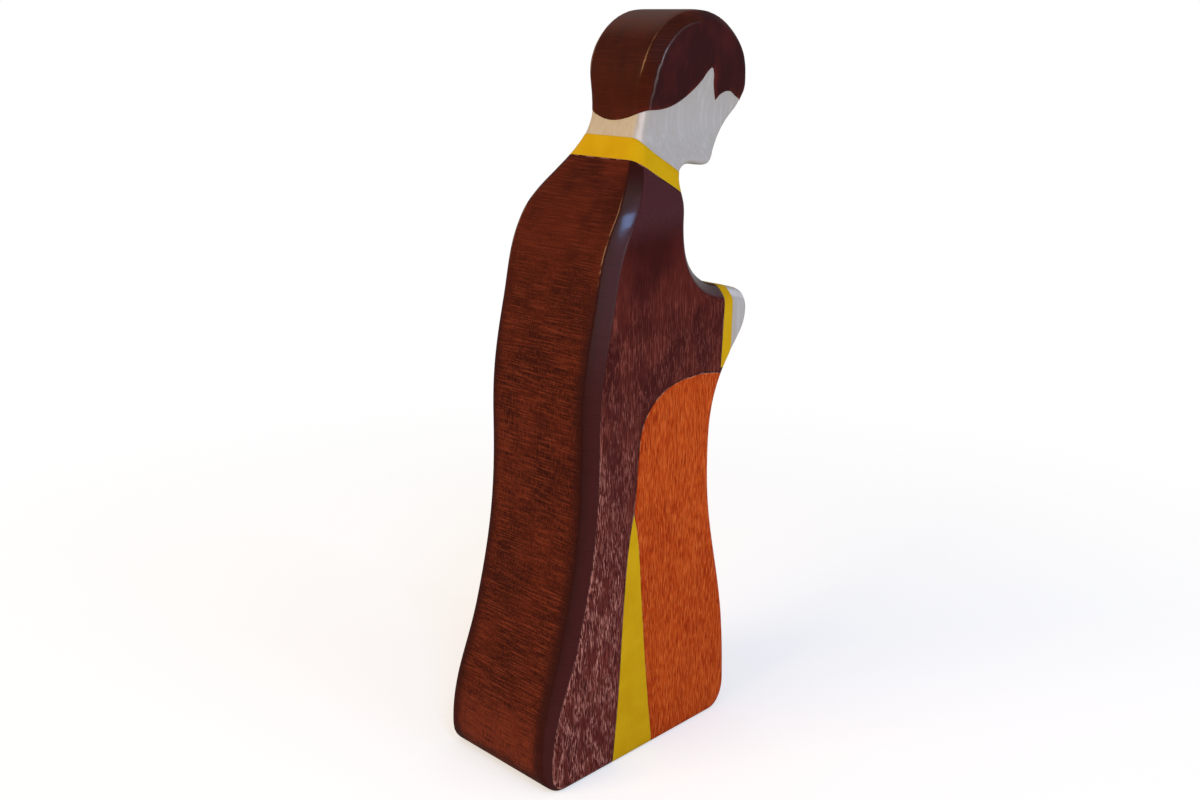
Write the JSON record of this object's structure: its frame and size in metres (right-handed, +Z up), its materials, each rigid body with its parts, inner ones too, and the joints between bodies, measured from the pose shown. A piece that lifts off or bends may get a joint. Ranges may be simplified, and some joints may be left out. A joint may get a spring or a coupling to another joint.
{
  "type": "nativity figure",
  "caption": "Standing wooden figure with bowed head and hands held before the chest, sawn from a board and painted, for a nativity scene.",
  "frame": {"origin": "centre of the footprint of the bounding box, on the table", "axes": "+X the way the figure looks, +Y its left side, +Z up"},
  "size_m": [0.0532, 0.025, 0.1213],
  "materials": {
    "bare_wood": "sanded, oiled",
    "hair_brown": "brushed colour, glossy",
    "cloak_brown": "brushed glaze, satin, grain showing",
    "robe_orange": "brushed glaze, satin, grain showing",
    "yellow": "brushed colour, satin"
  },
  "bodies": {
    "root": {"wooden_figure": "bare_wood", "hair_coat": "hair_brown", "collar_coat": "yellow", "cloak_coat": "cloak_brown", "cuff_coat": "yellow", "robe_coat": "robe_orange", "band_coat_right": "yellow", "band_coat_left": "yellow"}
  },
  "joints": []
}
